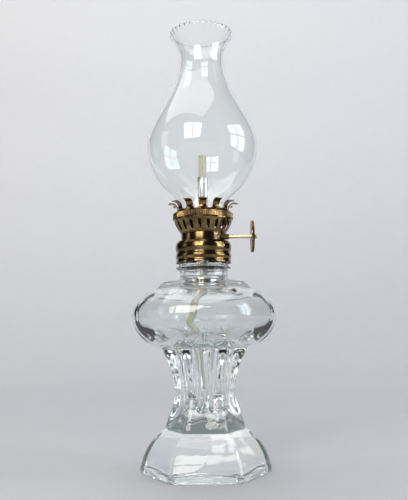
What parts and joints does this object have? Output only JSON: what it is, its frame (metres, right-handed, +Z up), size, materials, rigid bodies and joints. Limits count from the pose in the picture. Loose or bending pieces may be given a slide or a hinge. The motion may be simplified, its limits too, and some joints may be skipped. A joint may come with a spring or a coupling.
{
  "type": "kerosene lamp",
  "caption": "Miniature kerosene lamp: pressed glass font on a ribbed stem and hexagonal foot, brass side-wind burner with pronged gallery, round wick and blown bulb chimney.",
  "frame": {"origin": "middle of the foot's underside, on the surface that the lamp stands on", "axes": "+Z up along the lamp's axis, +X towards the thumb wheel, -Y the front, a flat panel of the glass"},
  "size_m": [0.0748, 0.0686, 0.2306],
  "materials": {
    "pressed_glass": "fire-polished pressed glass, faint green-grey",
    "blown_glass": "thin clear blown glass",
    "washer": "oil-darkened composition washer",
    "brass": "aged antique brass, polished high spots",
    "dark_brass": "dull brown brass",
    "shaft_brass": "pale worn brass",
    "steel": "bright drawn tube",
    "cotton": "round braided cotton"
  },
  "bodies": {
    "base": {"glass_base": "pressed_glass"},
    "seal": {"sealing_washer": "washer"},
    "burner": {"screw_cap": "brass", "burner_drum": "brass", "floor_cup": "dark_brass", "tube_ferrule": "dark_brass", "wick_tube": "steel", "shaft_bracket": "dark_brass", "shaft_bush": "dark_brass", "air_basket": "brass", "chimney_seat": "dark_brass", "prong_crown": "brass", "knurled_rim": "brass"},
    "winder": {"winder_shaft": "shaft_brass", "feed_wheel_left": "steel", "feed_wheel_right": "steel", "thumb_wheel": "shaft_brass"},
    "wick": {"wick": "cotton"},
    "chimney": {"chimney": "blown_glass"}
  },
  "joints": [
    {"name": "burner_rise", "type": "slide", "parent": "base", "child": "seal", "axis": [0, 0, 1], "range_m": [0, 0.0063]},
    {"name": "burner_unscrew", "type": "hinge", "parent": "seal", "child": "burner", "pos_m": [0, 0, 0.1152], "axis": [0, 0, 1], "range_deg": [0, 539]},
    {"name": "winder_turn", "type": "hinge", "parent": "burner", "child": "winder", "pos_m": [0, -0.00532, 0.11825], "axis": [1, 0, 0], "range_deg": [-229, 190]},
    {"name": "wick_feed", "type": "slide", "parent": "burner", "child": "wick", "axis": [0, 0, 1], "range_m": [-0.012, 0.01]},
    {"name": "chimney_lift", "type": "slide", "parent": "burner", "child": "chimney", "axis": [0, 0, 1], "range_m": [0, 0.04]}
  ],
  "couplings": [
    {"joint": "burner_rise", "follows": "burner_unscrew", "m_per_rad": 0.00066845},
    {"joint": "wick_feed", "follows": "winder_turn", "m_per_rad": 0.003}
  ]
}
